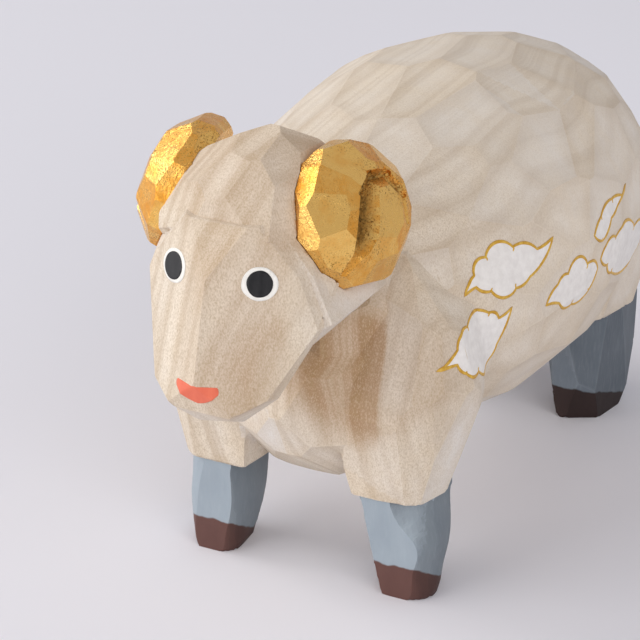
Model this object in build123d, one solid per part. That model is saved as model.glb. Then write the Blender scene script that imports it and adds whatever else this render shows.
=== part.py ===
"""Hand-carved wooden sheep with gilded, coiled horns, standing on four short legs.

The trunk, head, horns, legs and tail are whittled from separate blocks, so each of them is a blank
that flat knife cuts have let in from every side. Round tenons and dowels in glued bores join them.
The sheep looks along -Y, its left side is +X and its soles stand on Z = 0. Lengths are millimetres
and angles are degrees. Y = 0 is the middle of the barrel until the last step, which moves the sheep
so that the origin is under the middle of its bounding box.
"""

import os
from math import cos, radians, sin, sqrt

from build123d import *

# Trunk: the barrel, the chest between the front legs and the neck that carries the head
barrel_length = 115.0
barrel_width = 64.4
barrel_height = 59.6
belly_height = 14.0
chest_length = 55.0
chest_width = 42.0
chest_height = 44.0
chest_setback_share = 0.278
neck_length = 30.0
neck_width = 24.0
neck_height = 32.0

# Legs and the woolly cuffs over them. Spacing is a share of the barrel's width, and a setback is the
# distance forward of the barrel's middle as a share of its length.
front_leg_spacing_share = 0.506
front_leg_setback_share = 0.39
front_leg_width = 11.6
front_leg_depth = 14.4
front_seat_height = 17.0
front_seat_tilt = 0.0
rear_leg_spacing_share = 0.559
rear_leg_setback_share = -0.27
rear_leg_width = 12.4
rear_leg_depth = 24.0
rear_seat_height = 20.5
rear_seat_tilt = -4.0
cuff_width = 21.0
cuff_height = 44.0
front_cuff_depth = 26.0
rear_cuff_depth = 32.0
cuff_rise_share = 0.43
tenon_diameter = 6.5
tenon_length = 13.0

# Head: the wool cap, the woolly cheeks under the horns and the bare face. The head is placed by the
# middle of its cap. The other blanks and the seats of the neck and the horns are placed from there.
head_setback = 58.9
head_height = 62.0
cap_width = 33.0
cap_depth = 32.0
cap_height = 37.0
cheek_width = 33.0
cheek_depth = 33.0
cheek_height = 30.0
cheek_forward = 1.0
cheek_drop = 4.0
face_width = 29.0
face_depth = 36.0
face_height = 36.0
face_forward = 5.0
face_drop = 8.0
neck_forward = -15.9
neck_drop = 11.0
neck_seat_forward = -8.9
neck_seat_drop = 1.0
neck_seat_tilt = 25.0
neck_dowel_diameter = 8.0
neck_dowel_length = 24.0

# Horns, each on a flat of the head whose middle is the seat
horn_diameter = 21.4
horn_thickness = 8.6
horn_spacing_share = 0.704
horn_forward = 1.1
horn_drop = -5.8
horn_azimuth = 79.0
horn_elevation = 20.0
horn_peg_diameter = 3.5
horn_peg_length = 9.0
groove_width = 4.4
groove_depth = 2.8

# Tail, on a seat in the rump. The seat's place is a share of half the barrel's length and a share of
# its height.
tail_width = 10.0
tail_depth = 6.5
tail_length = 17.0
tail_reach_share = 0.929
tail_height_share = 0.589
tail_seat_rise = 22.0
tail_tenon_diameter = 4.0
tail_tenon_length = 8.0

# Fits
glue_gap = 0.05
bore_end_gap = 0.5
overrun = 5.0

# How much the hand strays from an even pattern, as an angle on the barrel and the coils and a depth
barrel_waver = 3.0
coil_waver = 5.0
waver_share = 0.02

LEFT, RIGHT = 1, -1

# Knife cuts, chosen by hand. On the barrel and the chest a cut is the place on the egg that its flat
# touches: the angle back from the nose end, the roll from the top towards the sheep's left, and the
# share of the egg's reach that the flat is let in to.
back_shares = (
    (52, -4, 0.997),
    (70, -8, 0.997),
    (93, -9, 0.997),
    (114, -6, 0.997),
    (133, -3, 0.992),
)
left_side_shares = (
    (38, 16, 0.992),
    (55, 16, 0.992),
    (75, 7, 0.997),
    (98, 9, 0.997),
    (119, 14, 0.992),
    (71, 24, 0.992),
    (90, 28, 0.997),
    (106, 24, 0.992),
    (58, 36, 0.987),
    (72, 38, 0.997),
    (114, 40, 0.997),
    (128, 28, 0.992),
    (46, 44, 0.992),
    (79, 47, 0.992),
    (66, 50, 0.992),
    (93, 53, 0.997),
    (40, 60, 0.992),
    (53, 64, 0.992),
    (102, 61, 0.987),
    (114, 62, 0.997),
    (130, 52, 0.992),
    (76, 69, 0.997),
    (66, 76, 0.992),
    (91, 74, 0.997),
    (45, 82, 0.992),
    (57, 92, 0.997),
    (105, 79, 0.992),
    (120, 80, 0.992),
    (134, 76, 0.992),
    (73, 88, 0.997),
    (88, 92, 0.997),
    (101, 97, 0.992),
    (47, 106, 0.992),
    (62, 108, 0.997),
    (76, 106, 0.992),
    (91, 111, 0.997),
    (107, 114, 0.992),
    (122, 100, 0.992),
    (136, 104, 0.992),
    (55, 126, 0.992),
    (70, 124, 0.992),
    (84, 130, 0.997),
    (100, 133, 0.992),
    (116, 133, 0.992),
    (131, 130, 0.992),
    (63, 144, 0.992),
    (78, 148, 0.992),
    (94, 152, 0.997),
    (110, 154, 0.992),
    (126, 157, 0.992),
)
belly_shares = (
    (58, 176, 0.992),
    (76, 172, 0.997),
    (92, 179, 0.992),
    (108, 174, 0.997),
    (124, 181, 0.992),
)
end_shares = (
    (0, 0, 0.987),
    (22, 30, 0.992),
    (22, 90, 0.992),
    (22, 150, 0.992),
    (22, 210, 0.992),
    (22, 270, 0.992),
    (22, 330, 0.992),
    (148, 0, 0.992),
    (149, 50, 0.992),
    (150, 98, 0.992),
    (150, 148, 0.992),
    (150, 205, 0.992),
    (148, 255, 0.992),
    (149, 308, 0.992),
    (167, 30, 0.992),
    (166, 150, 0.992),
    (168, 265, 0.992),
    (180, 0, 0.982),
)


def facing(azimuth, elevation):
    """Direction that a cut faces: azimuth 0 is the front (-Y) and 90 the sheep's left (+X)."""
    flat = cos(radians(elevation))
    return Vector(
        flat * sin(radians(azimuth)), -flat * cos(radians(azimuth)), sin(radians(elevation))
    )


def egg_facing(polar, roll, half):
    """Direction that an egg's skin faces at a place: polar 0 is the front, roll 0 the top."""
    place = (
        sin(radians(polar)) * sin(radians(roll)),
        -cos(radians(polar)),
        sin(radians(polar)) * cos(radians(roll)),
    )
    return Vector(*[part / size for part, size in zip(place, half)]).normalized()


def carve(centre, half, cuts):
    """An egg's blank let in by flat cuts. Each cut has the direction it faces and its depth share."""
    centre = Vector(*centre)
    solid = Pos(centre) * Box(*[2 * (size + overrun) for size in half])
    for direction, depth_share in cuts:
        reach = sqrt(sum((part * size) ** 2 for part, size in zip(direction, half)))
        plane = Plane(origin=centre + direction * (reach * depth_share), z_dir=direction)
        solid = split(solid, bisect_by=plane, keep=Keep.BOTTOM)
    return solid


def both_sides(cuts, half):
    """Cuts on the left side of an egg, and the same cuts a little displaced on its right side."""
    placed = []
    for number, (polar, roll, depth_share) in enumerate(cuts):
        placed.append((egg_facing(polar, roll, half), depth_share))
        shift = barrel_waver * sin(2.0 * number)
        placed.append((egg_facing(polar + shift, -roll - barrel_waver + shift, half), depth_share))
    return placed


def make_barrel():
    half = (barrel_width / 2, barrel_length / 2, barrel_height / 2)
    cuts = [(egg_facing(polar, roll, half), share) for polar, roll, share in end_shares]
    cuts += [(egg_facing(polar, roll, half), share) for polar, roll, share in back_shares]
    cuts += [(egg_facing(polar, roll, half), share) for polar, roll, share in belly_shares]
    cuts += both_sides(left_side_shares, half)
    return carve((0, 0, belly_height + barrel_height / 2), half, cuts)


# On every other blank a cut is its azimuth, its elevation and its depth share
chest_shares = (
    (0, 2, 0.99),
    (3, -28, 1.0),
    (-4, -52, 1.0),
    (0, -77, 1.0),
    (180, -66, 1.0),
    (24, -12, 0.98),
    (28, -40, 1.0),
    (47, -2, 0.98),
    (54, -28, 1.0),
    (62, -58, 1.0),
    (88, -22, 1.0),
    (92, -50, 1.0),
    (124, -62, 1.0),
    (0, 62, 0.9),
    (32, 36, 0.95),
    (76, 22, 0.95),
    (180, 30, 1.0),
    (140, 20, 1.0),
)
neck_shares = (
    (22, 4, 1.0),
    (46, 0, 1.0),
    (70, 6, 1.0),
    (92, 2, 1.0),
    (114, 14, 1.0),
    (136, 30, 0.95),
    (0, 84, 0.85),
    (30, 42, 0.95),
    (72, 38, 0.9),
    (104, 52, 0.85),
    (180, 62, 0.9),
    (30, -40, 1.0),
    (90, -50, 1.0),
    (0, -90, 0.9),
    (180, 0, 1.0),
)
front_cuff_shares = (
    (0, -13, 0.82),
    (2, 2, 0.80),
    (4, 19, 0.675),
    (14, 38, 0.76),
    (22, -6, 0.87),
    (38, -10, 0.84),
    (58, -8, 0.90),
    (76, -15, 0.91),
    (104, -18, 0.98),
    (128, -18, 0.99),
    (150, -22, 0.98),
    (178, -20, 0.94),
    (-35, -6, 1.0),
    (-85, -10, 0.93),
    (-140, -12, 0.91),
    (36, 16, 0.79),
    (66, 14, 0.91),
    (98, 16, 0.95),
    (134, 10, 1.0),
    (56, 40, 0.80),
    (92, 42, 0.80),
    (136, 40, 0.93),
    (0, 86, 0.95),
)
rear_cuff_shares = (
    (4, -20, 1.06),
    (36, -16, 1.06),
    (60, -10, 0.97),
    (82, -14, 0.92),
    (106, -13, 0.95),
    (130, -13, 1.0),
    (152, -16, 1.06),
    (180, -14, 1.02),
    (-40, -10, 0.99),
    (-90, -8, 0.62),
    (-140, -12, 0.99),
    (40, 20, 0.86),
    (72, 12, 0.85),
    (100, 10, 0.86),
    (134, 12, 0.91),
    (172, 14, 0.90),
    (60, 40, 0.80),
    (104, 36, 0.80),
    (150, 38, 0.84),
    (0, 86, 0.62),
)
front_left_leg_shares = (
    (0, 0, 0.97),
    (38, 12, 1.01),
    (52, -10, 1.23),
    (68, 4, 1.02),
    (90, 0, 0.92),
    (134, -8, 0.99),
    (180, -14, 0.70),
    (180, -34, 0.84),
    (-90, -14, 0.60),
    (-48, -6, 1.13),
    (-135, -14, 0.78),
    (150, -30, 0.98),
)
front_right_leg_shares = (
    (0, 0, 0.97),
    (36, 6, 1.0),
    (62, -6, 1.08),
    (90, 0, 0.90),
    (130, -10, 0.98),
    (180, -19, 0.80),
    (180, -36, 0.90),
    (-46, -4, 1.02),
    (-90, 0, 0.62),
    (-134, -16, 0.94),
)
rear_leg_shares = (
    (0, -6, 0.89),
    (40, 4, 0.89),
    (80, -2, 0.91),
    (98, 2, 0.99),
    (140, -8, 0.99),
    (180, -8, 0.88),
    (180, -36, 0.70),
    (150, -34, 0.81),
    (-90, -10, 0.67),
    (-45, -6, 1.04),
    (-135, -10, 0.87),
    (30, -14, 0.94),
)
cap_shares = (
    (0, 14, 1.07),
    (18, 30, 1.08),
    (-24, 22, 1.09),
    (-8, 40, 1.09),
    (0, 62, 1.08),
    (60, 22, 0.94),
    (54, 42, 1.03),
    (-60, 33, 1.03),
    (-45, 50, 1.02),
    (92, 50, 0.97),
    (-90, 50, 0.93),
    (-118, 60, 0.83),
    (90, 24, 0.80),
    (-90, 24, 0.92),
    (178, 60, 0.82),
    (140, 45, 0.88),
    (-140, 45, 0.75),
    (100, 8, 0.88),
    (-100, 8, 0.88),
    (0, -40, 0.48),
    (90, -40, 0.66),
    (-90, -40, 0.62),
    (84, -8, 0.84),
    (-80, -8, 0.80),
)
cheek_shares = (
    (60, 35, 1.07),
    (-60, 34, 1.07),
    (75, 25, 1.02),
    (-75, 24, 0.97),
    (88, 24, 0.90),
    (-88, 24, 0.87),
    (90, -44, 0.86),
    (-90, -44, 0.87),
    (66, -50, 0.93),
    (-66, -50, 0.93),
    (40, 68, 1.09),
    (0, 0, 0.73),
    (28, 13, 1.072),
    (-28, 13, 1.06),
    (0, -60, 0.94),
    (0, 76, 1.05),
    (104, 10, 0.99),
    (-104, 10, 0.99),
    (-76, 2, 0.96),
    (180, 40, 0.8),
    (180, -30, 0.88),
)
face_shares = (
    (28, 13, 0.90),
    (-28, 13, 0.90),
    (0, 31, 1.0),
    (0, -20, 1.155),
    (0, -46, 1.16),
    (0, -78, 1.02),
    (45, -40, 1.165),
    (-45, -40, 1.175),
    (85, -26, 0.90),
    (-75, -9, 0.945),
    (84, 4, 1.10),
    (-84, 4, 1.09),
    (70, -50, 0.95),
    (-70, -50, 0.93),
    (20, -64, 1.06),
    (-20, -64, 1.10),
    (130, -30, 0.31),
    (-130, -30, 0.31),
    (180, 30, 0.30),
    (0, 80, 0.98),
    (0, 55, 1.085),
    (60, 32, 1.075),
    (-60, 32, 1.075),
    (66, 22, 1.09),
    (-66, 22, 1.09),
)
tail_shares = (
    (0, 20, 0.95),
    (50, 24, 0.88),
    (-46, 22, 0.90),
    (84, 18, 0.88),
    (-86, 20, 0.87),
    (122, 22, 0.97),
    (-126, 20, 0.96),
    (176, 16, 1.0),
    (6, 60, 0.92),
    (88, 56, 0.96),
    (-92, 58, 0.95),
    (178, 52, 0.95),
    (0, 90, 0.90),
)

# Horn: flats in rings round the coil, as elevation, count, first azimuth and depth share. Elevation
# 90 is the outer face. The groove is a run of knife cuts: angle from the front towards the top,
# distance from the coil's middle as a share of its radius, and depth share.
coil_shares = (
    (-30, 11, 12, 1.13),
    (6, 13, 0, 0.985),
    (44, 11, 14, 0.90),
    (72, 7, 5, 1.03),
)
groove_shares = (
    (-44, 1.0, 1.8),
    (-38, 0.72, 0.95),
    (-24, 0.44, 1.0),
    (8, 0.29, 1.0),
    (58, 0.33, 0.9),
    (92, 0.44, 0.75),
    (130, 0.51, 0.65),
    (170, 0.54, 0.55),
    (208, 0.54, 0.4),
)


def faced(cuts, side=LEFT):
    """Cuts written as azimuth, elevation and depth share, for the left side or mirrored for the right."""
    return [(facing(side * azimuth, elevation), share) for azimuth, elevation, share in cuts]


def blank_half(width, depth, height):
    return (width / 2, depth / 2, height / 2)


def leg_stations():
    """Node name, then what make_leg and make_cuff need of each leg."""
    front = (front_leg_spacing_share, front_leg_setback_share, front_seat_height, front_seat_tilt)
    rear = (rear_leg_spacing_share, rear_leg_setback_share, rear_seat_height, rear_seat_tilt)
    front_section = (front_leg_width, front_leg_depth)
    rear_section = (rear_leg_width, rear_leg_depth)
    return (
        ("leg_front_left", LEFT, front, front_section, front_left_leg_shares),
        ("leg_front_right", RIGHT, front, front_section, front_right_leg_shares),
        ("leg_rear_left", LEFT, rear, rear_section, rear_leg_shares),
        ("leg_rear_right", RIGHT, rear, rear_section, rear_leg_shares),
    )


def seat_centre(side, station):
    spacing_share, setback_share, height, _ = station
    return Vector(side * barrel_width * spacing_share / 2, -barrel_length * setback_share, height)


def seat_plane(side, station, rise=0.0):
    """Plane between a leg and its cuff. It faces down and climbs towards the tail by its tilt."""
    return Plane(origin=seat_centre(side, station) + Vector(0, 0, rise), z_dir=facing(180, station[3] - 90))


def upright(diameter, length):
    """Round peg that starts at the origin and goes up."""
    return Cylinder(diameter / 2, length, align=(Align.CENTER, Align.CENTER, Align.MIN))


def make_cuff(side, station, depth, cuts):
    """Woolly top of a leg, part of the trunk, cut off flat where the leg is glued on."""
    centre = seat_centre(side, station) + Vector(0, 0, cuff_height * cuff_rise_share)
    cuff = carve(centre, blank_half(cuff_width, depth, cuff_height), faced(cuts, side))
    return split(cuff, bisect_by=seat_plane(side, station), keep=Keep.BOTTOM)


def make_leg(side, station, section, cuts, clearance=0.0):
    """Lower leg with its tenon, larger all round by a clearance."""
    seat = seat_centre(side, station)
    half = [size + clearance for size in blank_half(*section, seat.Z)]
    leg = carve(seat - Vector(0, 0, seat.Z / 2), half, faced(cuts, side))
    leg = split(leg, bisect_by=seat_plane(side, station, clearance), keep=Keep.TOP)
    leg = split(leg, bisect_by=Plane.XY, keep=Keep.TOP)
    root = seat.Z / 2
    tenon = upright(tenon_diameter + 2 * clearance, root + tenon_length + clearance)
    return leg + Pos(seat - Vector(0, 0, root)) * tenon


def from_head(forward, drop, sideways=0.0):
    """Place relative to the middle of the wool cap."""
    return Vector(sideways, -head_setback - forward, head_height - drop)


def neck_seat():
    """Plane between the neck and the head. It faces forward and up."""
    origin = from_head(neck_seat_forward, neck_seat_drop)
    return Plane(origin=origin, z_dir=facing(0, neck_seat_tilt), x_dir=(1, 0, 0))


def horn_seat(side):
    """Plane between the head and a horn. Its X axis points to the front of the coil."""
    origin = from_head(horn_forward, horn_drop, side * cap_width * horn_spacing_share / 2)
    front = facing(side * (horn_azimuth - 90), 0)
    return Plane(origin=origin, z_dir=facing(side * horn_azimuth, horn_elevation), x_dir=front)


def tail_seat():
    """Plane in the rump that the tail is glued to. It faces back and up, and its Y axis points down."""
    height = belly_height + barrel_height * tail_height_share
    origin = (0, barrel_length * tail_reach_share / 2, height)
    return Plane(origin=origin, z_dir=facing(180, tail_seat_rise), x_dir=(1, 0, 0))


def make_trunk():
    """Barrel, chest, neck and cuffs in one piece, with a pocket and a bore for everything glued to it."""
    trunk = make_barrel()
    half = blank_half(chest_width, chest_length, chest_height)
    centre = (0, -barrel_length * chest_setback_share, belly_height + chest_height / 2)
    trunk += carve(centre, half, faced(chest_shares) + faced(chest_shares, RIGHT))
    half = blank_half(neck_width, neck_length, neck_height)
    centre = from_head(neck_forward, neck_drop)
    trunk += carve(centre, half, faced(neck_shares) + faced(neck_shares, RIGHT))
    for name, side, station, section, cuts in leg_stations():
        front = name.startswith("leg_front")
        depth = front_cuff_depth if front else rear_cuff_depth
        trunk += make_cuff(side, station, depth, front_cuff_shares if front else rear_cuff_shares)
    trunk = split(trunk, bisect_by=neck_seat().offset(-glue_gap), keep=Keep.BOTTOM)
    for _, side, station, section, cuts in leg_stations():
        trunk -= make_leg(side, station, section, cuts, glue_gap)
        trunk -= Pos(seat_centre(side, station)) * upright(tenon_diameter, tenon_length + bore_end_gap)
    trunk -= make_tail(glue_gap)
    return trunk - neck_bore()


def neck_bore():
    bore = Cylinder(neck_dowel_diameter / 2 + glue_gap, neck_dowel_length + 2 * bore_end_gap)
    return neck_seat() * bore


def make_head():
    """Cap, cheeks and face in one piece, with pockets for the horns and bores for dowel and pegs."""
    half = blank_half(cap_width, cap_depth, cap_height)
    head = carve(from_head(0, 0), half, faced(cap_shares))
    half = blank_half(cheek_width, cheek_depth, cheek_height)
    head += carve(from_head(cheek_forward, cheek_drop), half, faced(cheek_shares))
    half = blank_half(face_width, face_depth, face_height)
    head += carve(from_head(face_forward, face_drop), half, faced(face_shares))
    head = split(head, bisect_by=neck_seat(), keep=Keep.TOP)
    head -= neck_bore()
    for side in (LEFT, RIGHT):
        head -= horn_seat(side) * make_coil(side, glue_gap)
        head -= horn_seat(side) * horn_peg_bore()
    return head


def horn_peg_bore():
    return Cylinder(horn_peg_diameter / 2 + glue_gap, horn_peg_length + 2 * bore_end_gap)


def make_coil(side, clearance=0.0):
    """Coil's blank on its seat, larger all round by a clearance: a drum with flats round its rim."""
    radius = horn_diameter / 2 + clearance
    half = (radius, radius, horn_thickness / 2 + clearance)
    cuts = []
    for elevation, count, first, depth_share in coil_shares:
        for index in range(count):
            azimuth = side * (first + 360 * index / count + coil_waver * sin(2.3 * index))
            cuts.append((facing(azimuth, elevation), depth_share * (1 + waver_share * sin(1.9 * index))))
    coil = carve((0, 0, horn_thickness / 2), half, cuts)
    coil = split(coil, bisect_by=Plane.XY.offset(-clearance), keep=Keep.TOP)
    return split(coil, bisect_by=Plane.XY.offset(horn_thickness + clearance), keep=Keep.BOTTOM)


def make_horn(side):
    """Coil with a spiral groove let into its outer face and a bore for its peg."""
    radius = horn_diameter / 2
    coil = make_coil(side)
    places = []
    for angle, distance_share, depth_share in groove_shares:
        out = radius * distance_share
        flat_angle = radians(-side * angle)
        places.append(Vector(
            out * cos(flat_angle), out * sin(flat_angle), horn_thickness - groove_depth * depth_share))
    for start, end in zip(places, places[1:]):
        coil -= knife_groove(start, end)
    coil -= horn_peg_bore()
    return horn_seat(side) * coil


def knife_groove(start, end):
    """V-shaped cut whose bottom edge runs from start to end and whose sides lean outwards."""
    along = (end - start).normalized()
    across = along.cross(Vector(0, 0, 1))
    bottom = Plane(origin=start - along * (groove_width / 4), z_dir=along, x_dir=across)
    rise = groove_depth * 2
    spread = groove_width * rise / groove_depth / 2
    vee = Polygon((0, 0), (spread, -rise), (-spread, -rise), align=None)
    return extrude(bottom * vee, (end - start).length + groove_width / 2, dir=along)


def make_tail(clearance=0.0):
    """Short tail with its tenon, larger all round by a clearance."""
    half = (tail_width / 2 + clearance, tail_length / 2 + clearance, tail_depth + clearance)
    tail = carve((0, 0, 0), half, faced(tail_shares))
    tail = split(tail, bisect_by=Plane.XY.offset(-clearance), keep=Keep.TOP)
    depth = tail_tenon_length + (bore_end_gap if clearance else 0)
    tenon = Pos(0, 0, -depth) * upright(tail_tenon_diameter + 2 * clearance, depth + tail_depth / 2)
    return tail_seat() * (tail + tenon)


def make_parts():
    """Every piece by node name, where it stands in the finished sheep."""
    parts = {"trunk": make_trunk(), "head": make_head(), "tail": make_tail()}
    for name, side, station, section, cuts in leg_stations():
        parts[name] = make_leg(side, station, section, cuts)
    for side, hand in ((LEFT, "left"), (RIGHT, "right")):
        parts[f"horn_{hand}"] = make_horn(side)
        parts[f"horn_peg_{hand}"] = horn_seat(side) * Cylinder(horn_peg_diameter / 2, horn_peg_length)
    parts["neck_dowel"] = neck_seat() * Cylinder(neck_dowel_diameter / 2, neck_dowel_length)
    boxes = [piece.bounding_box() for piece in parts.values()]
    middle_x = (min(box.min.X for box in boxes) + max(box.max.X for box in boxes)) / 2
    middle_y = (min(box.min.Y for box in boxes) + max(box.max.Y for box in boxes)) / 2
    return {name: Pos(-middle_x, -middle_y, 0) * piece for name, piece in parts.items()}


os.makedirs("parts", exist_ok=True)
for name, piece in make_parts().items():
    export_step(piece, f"parts/{name}.step")
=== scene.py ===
"""Looks, light and camera for a carved wooden sheep with gold-leafed horns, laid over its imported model."""
import logging
import math
from dataclasses import dataclass, field, replace
from enum import Enum
from functools import partial
from typing import Any, Callable, Iterable, Optional, Sequence, Union

import bmesh
import bpy
from bmesh.types import BMEdge, BMesh, BMFace, BMVert
from bpy.types import ID, Curve, Material, Node, NodeSocket, Object, World
from mathutils import Matrix, Vector, noise
from mathutils.bvhtree import BVHTree
from mathutils.kdtree import KDTree


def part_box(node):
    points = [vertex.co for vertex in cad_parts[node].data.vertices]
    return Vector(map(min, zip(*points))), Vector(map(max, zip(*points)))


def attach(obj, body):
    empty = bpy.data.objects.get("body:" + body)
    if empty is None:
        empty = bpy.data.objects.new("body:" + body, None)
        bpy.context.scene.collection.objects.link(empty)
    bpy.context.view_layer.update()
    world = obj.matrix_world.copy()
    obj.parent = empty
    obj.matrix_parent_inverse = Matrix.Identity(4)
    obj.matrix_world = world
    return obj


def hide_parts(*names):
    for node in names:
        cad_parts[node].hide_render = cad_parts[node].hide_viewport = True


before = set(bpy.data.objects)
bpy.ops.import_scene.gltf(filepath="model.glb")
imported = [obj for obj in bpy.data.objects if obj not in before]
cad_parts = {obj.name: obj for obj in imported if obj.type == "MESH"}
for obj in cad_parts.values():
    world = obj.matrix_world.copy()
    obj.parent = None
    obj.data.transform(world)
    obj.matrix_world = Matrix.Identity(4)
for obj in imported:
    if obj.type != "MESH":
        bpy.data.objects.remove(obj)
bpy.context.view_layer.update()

log = logging.getLogger("sheep")
logging.basicConfig(level=logging.INFO, format="%(name)s: %(message)s")

Pair = tuple[float, float]
Triple = tuple[float, float, float]
Knot = tuple[Vector, Vector, Vector, float]  # an outline's point, its two handles and its brush width share
Marks = tuple[KDTree, list[tuple[Vector, Vector]]]  # places along edges, and each place's edge as its ends

MM = 0.001
MIDDLE = 0.167  # the sheep's own middle plane stands this far to the left of the frame's, in mm
BODY = "root"

# What a math node does with its values
LESS = {"operation": "SUBTRACT"}
TIMES = {"operation": "MULTIPLY"}
TIMES_CLAMPED = {"operation": "MULTIPLY", "use_clamp": True}
TIMES_PLUS = {"operation": "MULTIPLY_ADD"}
LARGER = {"operation": "MAXIMUM"}


class Side(Enum):
    """Which side of the sheep a paired piece belongs to."""

    LEFT = 1
    RIGHT = -1

    @property
    def word(self) -> str:
        """The side's name as node names have it."""
        return self.name.lower()

    def across(self, distance: float) -> float:
        """X of a place at a distance from the sheep's middle, in mm."""
        return MIDDLE + self.value * distance


class Tone(Enum):
    """Paints and grounds, as sRGB hex. A thin tone is where the brush left less of the paint."""

    EYE_WHITE = "F4F1EA"
    EYE_WHITE_THIN = "E8E4DC"
    EYE_BLACK = "0A0A0B"
    EYE_BLACK_THIN = "222122"
    NOSE_CORAL = "E9785A"
    NOSE_CORAL_THIN = "E06B50"
    CLOUD_WHITE = "F1EDE8"
    CLOUD_WHITE_THIN = "E2DDD8"
    FLOOR = "EAE9EF"
    ROOM = "F6F5FA"


def place(x: float, y: float, z: float) -> Vector:
    """A point of the frame, given in mm."""
    return Vector((x, y, z)) * MM


def aim(azimuth: float, elevation: float) -> Vector:
    """The direction from the sheep at a compass angle and a height angle, in degrees from its front."""
    turn, rise = math.radians(azimuth), math.radians(elevation)
    return Vector((math.sin(turn) * math.cos(rise), -math.cos(turn) * math.cos(rise), math.sin(rise)))


def facing(azimuth: float, elevation: float) -> Matrix:
    """Turns something to face a way.

    Args:
        azimuth: The way's compass angle, in degrees from the sheep's front.
        elevation: Its height angle, in degrees.

    Returns:
        Columns across, up and out along the way.
    """
    out = aim(azimuth, elevation)
    across = Vector((0, 0, 1)).cross(out).normalized()
    return Matrix((across, out.cross(across), out)).transposed()


def linear(tone: str) -> tuple[float, float, float, float]:
    """Turns an sRGB hex colour into the linear RGBA that nodes take.

    Args:
        tone: Six hex digits.

    Returns:
        Red, green, blue and an alpha of 1.
    """
    shares = [int(tone[i : i + 2], 16) / 255 for i in (0, 2, 4)]
    return (*(s / 12.92 if s <= 0.04045 else ((s + 0.055) / 1.055) ** 2.4 for s in shares), 1.0)


def add_object(name: str, data: ID) -> Object:
    """Makes an object and links it to the scene.

    Args:
        name: The object's name.
        data: Its mesh, curve, light or camera.

    Returns:
        The object, at the origin.
    """
    made = bpy.data.objects.new(name, data)
    bpy.context.scene.collection.objects.link(made)
    return made


class Mixture:
    """A node tree that is being filled: a finish's, or the world's."""

    def __init__(self, owner: Union[Material, World]) -> None:
        """Empties the owner's node tree.

        Args:
            owner: The new material or world.
        """
        owner.use_nodes = True
        self.owner = owner
        self.tree = owner.node_tree
        self.tree.nodes.clear()

    def add(self, kind: str, *values: Any, sockets: Optional[dict] = None, **options: Any) -> Node:
        """Adds one node, with its options, its sockets and its links.

        Args:
            kind: The node's type name, less its "ShaderNode".
            values: What the first sockets get, in their order.
            sockets: What other sockets get, by name or number.
            options: The node's own settings.

        Returns:
            The new node. A socket that gets a node or an output is linked to it. A node stands for its first
            output in use, and a hex colour for its linear RGBA.
        """
        node = self.tree.nodes.new(f"ShaderNode{kind}")
        for name, value in options.items():
            setattr(node, name, value)
        for socket, value in {**dict(enumerate(values)), **(sockets or {})}.items():
            if isinstance(value, Node):
                value = next(output for output in value.outputs if not output.is_unavailable)
            if isinstance(value, NodeSocket):
                self.tree.links.new(value, node.inputs[socket])
            else:
                node.inputs[socket].default_value = linear(value) if isinstance(value, str) else value
        return node

    def per_mm(self, *units: float) -> Node:
        """Object coordinates times a number of pattern units per mm along X, Y and Z."""
        scale = [unit / MM for unit in units]
        return self.add("Mapping", self.add("TexCoord").outputs["Object"], sockets={"Scale": scale})

    def read(self, *names: str) -> list[NodeSocket]:
        """The numbers that a piece stores under some names."""
        return [self.add("Attribute", attribute_name=name).outputs["Fac"] for name in names]

    def glaze(self, colour: Any, *coats: tuple[Any, Any]) -> Any:
        """Lays coats over a colour.

        Args:
            colour: The ground, as a node or hex.
            coats: How much of each coat there is, and its colour, from the ground up.

        Returns:
            The uppermost coat's node.
        """
        for share, tone in coats:
            colour = self.add("Mix", sockets={0: share, 6: colour, 7: tone}, data_type="RGBA")
        return colour

    def close(self, sockets: dict) -> Material:
        """Adds the shader with its sockets, joins it to the output and gives the material."""
        self.add("OutputMaterial", self.add("BsdfPrincipled", sockets=sockets))
        return self.owner


# Finishes


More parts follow.
